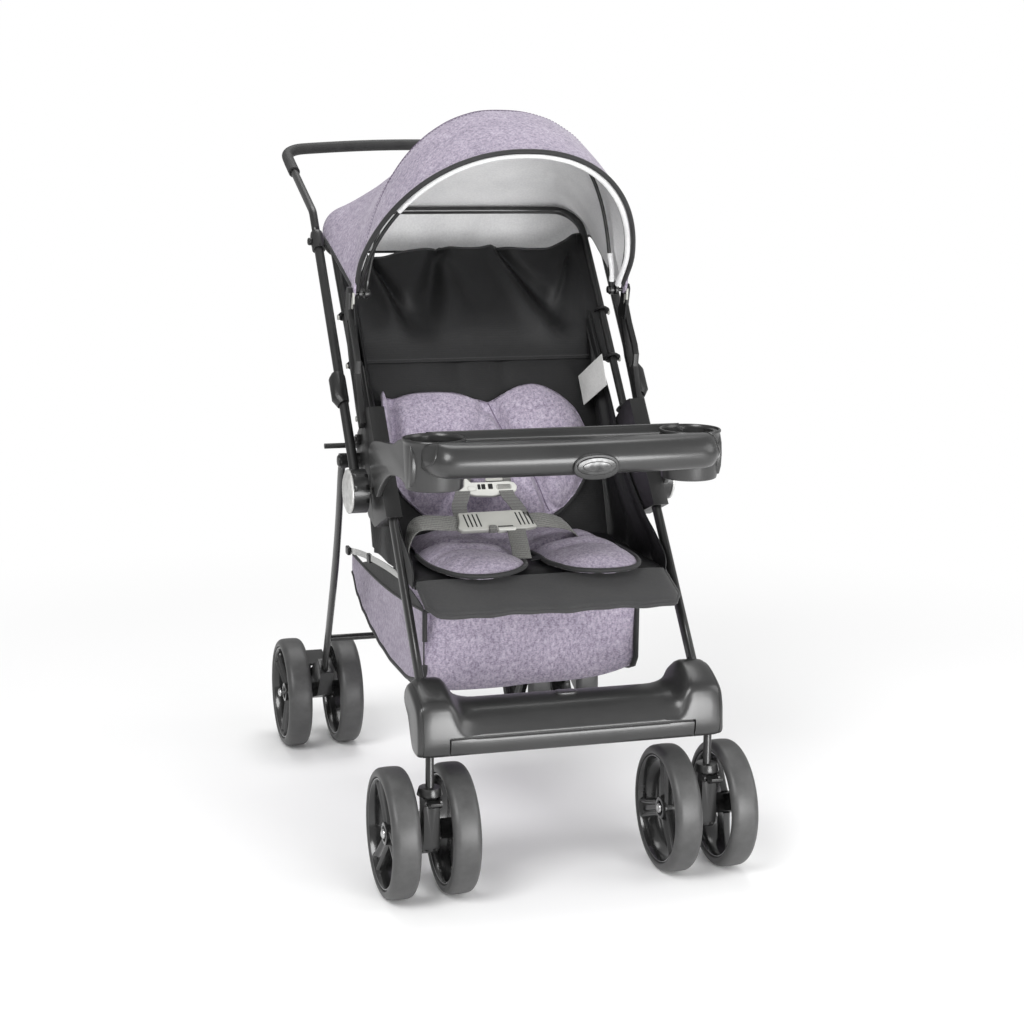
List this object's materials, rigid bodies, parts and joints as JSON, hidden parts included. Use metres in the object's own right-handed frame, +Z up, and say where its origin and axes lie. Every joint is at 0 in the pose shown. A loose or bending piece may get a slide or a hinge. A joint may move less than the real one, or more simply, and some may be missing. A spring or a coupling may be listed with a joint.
{
  "type": "pushchair",
  "caption": "Folding pushchair with a reversible push handle, arched canopy, padded reclining seat, snack tray with cup wells, storage basket and swivelling twin front wheels.",
  "frame": {"origin": "middle of the footprint, on the ground", "axes": "+Z up; the child faces -Y; +X is the child's left"},
  "size_m": [0.524, 0.8878, 1.0171],
  "materials": {
    "bright_steel": "bright",
    "dark_fabric": "plain weave",
    "dark_plastic": "satin",
    "foam_rubber": "foam",
    "gloss_plastic": "gloss",
    "grey_webbing": "woven webbing",
    "lilac_fabric": "melange weave",
    "painted_tube": "satin",
    "silver_plastic": "silver paint",
    "tyre_rubber": "matte"
  },
  "bodies": {
    "frame": {"footrest": "dark_plastic", "front_leg_left": "painted_tube", "front_leg_right": "painted_tube", "hub_housing_left": "dark_plastic", "hub_housing_right": "dark_plastic", "handle_cap_left": "silver_plastic", "handle_cap_right": "silver_plastic", "back_frame": "painted_tube", "canopy_stay_left": "dark_plastic", "canopy_stay_right": "dark_plastic", "canopy_cover": "lilac_fabric", "seat_shell": "dark_fabric", "seat_cushion": "lilac_fabric", "basket": "lilac_fabric", "waist_harness": "grey_webbing"},
    "caster_left": {"caster_fork_left": "gloss_plastic", "front_axle_left": "bright_steel"},
    "swivel_lock_left": {"swivel_lock_left": "gloss_plastic"},
    "caster_right": {"caster_fork_right": "gloss_plastic", "front_axle_right": "bright_steel"},
    "swivel_lock_right": {"swivel_lock_right": "gloss_plastic"},
    "rear_legs": {"rear_frame": "painted_tube", "rear_bracket_left": "gloss_plastic", "rear_bracket_right": "gloss_plastic", "rear_axle_left": "bright_steel", "rear_axle_right": "bright_steel"},
    "wheel_front_left_outer": {"tyre_front_left_outer": "tyre_rubber", "rim_front_left_outer": "gloss_plastic"},
    "wheel_front_left_inner": {"tyre_front_left_inner": "tyre_rubber", "rim_front_left_inner": "gloss_plastic"},
    "wheel_rear_left_outer": {"tyre_rear_left_outer": "tyre_rubber", "rim_rear_left_outer": "gloss_plastic"},
    "wheel_rear_left_inner": {"tyre_rear_left_inner": "tyre_rubber", "rim_rear_left_inner": "gloss_plastic"},
    "brake_pedal_left": {"brake_pedal_left": "dark_plastic"},
    "wheel_front_right_outer": {"tyre_front_right_outer": "tyre_rubber", "rim_front_right_outer": "gloss_plastic"},
    "wheel_front_right_inner": {"tyre_front_right_inner": "tyre_rubber", "rim_front_right_inner": "gloss_plastic"},
    "wheel_rear_right_outer": {"tyre_rear_right_outer": "tyre_rubber", "rim_rear_right_outer": "gloss_plastic"},
    "wheel_rear_right_inner": {"tyre_rear_right_inner": "tyre_rubber", "rim_rear_right_inner": "gloss_plastic"},
    "brake_pedal_right": {"brake_pedal_right": "dark_plastic"},
    "handle": {"handle_tube_left": "painted_tube", "handle_tube_right": "painted_tube"},
    "handle_top": {"handle_upper": "painted_tube", "handle_grip": "foam_rubber"},
    "height_button_left": {"height_button_left": "dark_plastic"},
    "handle_release_left": {"handle_release_left": "dark_plastic"},
    "fold_lever_left": {"fold_lever_left": "dark_plastic"},
    "height_button_right": {"height_button_right": "dark_plastic"},
    "handle_release_right": {"handle_release_right": "dark_plastic"},
    "fold_lever_right": {"fold_lever_right": "dark_plastic"},
    "canopy_front": {"canopy_front_bow": "painted_tube"},
    "canopy_mid": {"canopy_mid_bow": "painted_tube"},
    "back": {"backrest": "dark_fabric", "back_cushion": "lilac_fabric"},
    "legrest": {"legrest": "dark_fabric"},
    "tray": {"tray": "dark_plastic"}
  },
  "joints": [
    {"name": "caster_swivel_left", "type": "hinge", "parent": "frame", "child": "caster_left", "pos_m": [0.192, -0.39213, 0.148], "axis": [0, 0, 1], "continuous": true},
    {"name": "swivel_lock_turn_left", "type": "hinge", "parent": "caster_left", "child": "swivel_lock_left", "pos_m": [0.192, -0.40913, 0.142], "axis": [1, 0, 0], "range_deg": [0, 25]},
    {"name": "caster_swivel_right", "type": "hinge", "parent": "frame", "child": "caster_right", "pos_m": [-0.192, -0.39213, 0.148], "axis": [0, 0, 1], "continuous": true},
    {"name": "swivel_lock_turn_right", "type": "hinge", "parent": "caster_right", "child": "swivel_lock_right", "pos_m": [-0.192, -0.40913, 0.142], "axis": [1, 0, 0], "range_deg": [0, 25]},
    {"name": "frame_fold", "type": "hinge", "parent": "frame", "child": "rear_legs", "pos_m": [0, -0.02713, 0.525], "axis": [1, 0, 0], "range_deg": [-55, 0], "deforming": ["basket"]},
    {"name": "wheel_front_left_outer_roll", "type": "hinge", "parent": "caster_left", "child": "wheel_front_left_outer", "pos_m": [0.232, -0.35713, 0.08675], "axis": [1, 0, 0], "continuous": true},
    {"name": "wheel_front_left_inner_roll", "type": "hinge", "parent": "caster_left", "child": "wheel_front_left_inner", "pos_m": [0.152, -0.35713, 0.08675], "axis": [1, 0, 0], "continuous": true},
    {"name": "wheel_rear_left_outer_roll", "type": "hinge", "parent": "rear_legs", "child": "wheel_rear_left_outer", "pos_m": [0.2395, 0.32187, 0.08675], "axis": [1, 0, 0], "continuous": true},
    {"name": "wheel_rear_left_inner_roll", "type": "hinge", "parent": "rear_legs", "child": "wheel_rear_left_inner", "pos_m": [0.1565, 0.32187, 0.08675], "axis": [1, 0, 0], "continuous": true},
    {"name": "brake_left", "type": "hinge", "parent": "rear_legs", "child": "brake_pedal_left", "pos_m": [0.198, 0.32287, 0.11775], "axis": [1, 0, 0], "range_deg": [-20, 0]},
    {"name": "wheel_front_right_outer_roll", "type": "hinge", "parent": "caster_right", "child": "wheel_front_right_outer", "pos_m": [-0.232, -0.35713, 0.08675], "axis": [1, 0, 0], "continuous": true},
    {"name": "wheel_front_right_inner_roll", "type": "hinge", "parent": "caster_right", "child": "wheel_front_right_inner", "pos_m": [-0.152, -0.35713, 0.08675], "axis": [1, 0, 0], "continuous": true},
    {"name": "wheel_rear_right_outer_roll", "type": "hinge", "parent": "rear_legs", "child": "wheel_rear_right_outer", "pos_m": [-0.2395, 0.32187, 0.08675], "axis": [1, 0, 0], "continuous": true},
    {"name": "wheel_rear_right_inner_roll", "type": "hinge", "parent": "rear_legs", "child": "wheel_rear_right_inner", "pos_m": [-0.1565, 0.32187, 0.08675], "axis": [1, 0, 0], "continuous": true},
    {"name": "brake_right", "type": "hinge", "parent": "rear_legs", "child": "brake_pedal_right", "pos_m": [-0.198, 0.32287, 0.11775], "axis": [1, 0, 0], "range_deg": [-20, 0]},
    {"name": "handle_reverse", "type": "hinge", "parent": "frame", "child": "handle", "pos_m": [0, -0.10573, 0.495], "axis": [1, 0, 0], "range_deg": [0, 79]},
    {"name": "handle_height", "type": "slide", "parent": "handle", "child": "handle_top", "axis": [0, 0.6347, 0.7727], "range_m": [0, 0.06]},
    {"name": "height_button_press_left", "type": "slide", "parent": "handle", "child": "height_button_left", "axis": [-1, 0, 0], "range_m": [0, 0.002], "stiffness_N_per_m": 400},
    {"name": "handle_release_slide_left", "type": "slide", "parent": "handle", "child": "handle_release_left", "axis": [0, 0.6347, 0.7727], "range_m": [0, 0.012], "stiffness_N_per_m": 250},
    {"name": "fold_lever_lift_left", "type": "hinge", "parent": "frame", "child": "fold_lever_left", "pos_m": [0.2036, -0.03513, 0.556], "axis": [1, 0, 0], "range_deg": [0, 20], "stiffness_Nm_per_rad": 0.4},
    {"name": "height_button_press_right", "type": "slide", "parent": "handle", "child": "height_button_right", "axis": [1, 0, 0], "range_m": [0, 0.002], "stiffness_N_per_m": 400},
    {"name": "handle_release_slide_right", "type": "slide", "parent": "handle", "child": "handle_release_right", "axis": [0, 0.6347, 0.7727], "range_m": [0, 0.012], "stiffness_N_per_m": 250},
    {"name": "fold_lever_lift_right", "type": "hinge", "parent": "frame", "child": "fold_lever_right", "pos_m": [-0.2036, -0.03513, 0.556], "axis": [1, 0, 0], "range_deg": [0, 20], "stiffness_Nm_per_rad": 0.4},
    {"name": "canopy_fold", "type": "hinge", "parent": "frame", "child": "canopy_front", "pos_m": [0, 0.00887, 0.758], "axis": [1, 0, 0], "range_deg": [-70, 0], "deforming": ["canopy_cover"]},
    {"name": "canopy_mid_follow", "type": "hinge", "parent": "frame", "child": "canopy_mid", "pos_m": [0, 0.00887, 0.758], "axis": [1, 0, 0], "range_deg": [-50, 0]},
    {"name": "backrest_recline", "type": "hinge", "parent": "frame", "child": "back", "pos_m": [0, -0.01213, 0.401], "axis": [1, 0, 0], "range_deg": [-35, 0]},
    {"name": "legrest_tilt", "type": "hinge", "parent": "frame", "child": "legrest", "pos_m": [0, -0.25813, 0.394], "axis": [1, 0, 0], "range_deg": [-18, 40]},
    {"name": "tray_remove", "type": "slide", "parent": "frame", "child": "tray", "axis": [0, -1, 0], "range_m": [0, 0.12]}
  ],
  "couplings": [
    {"joint": "canopy_mid_follow", "follows": "canopy_fold", "ratio": 0.7}
  ]
}
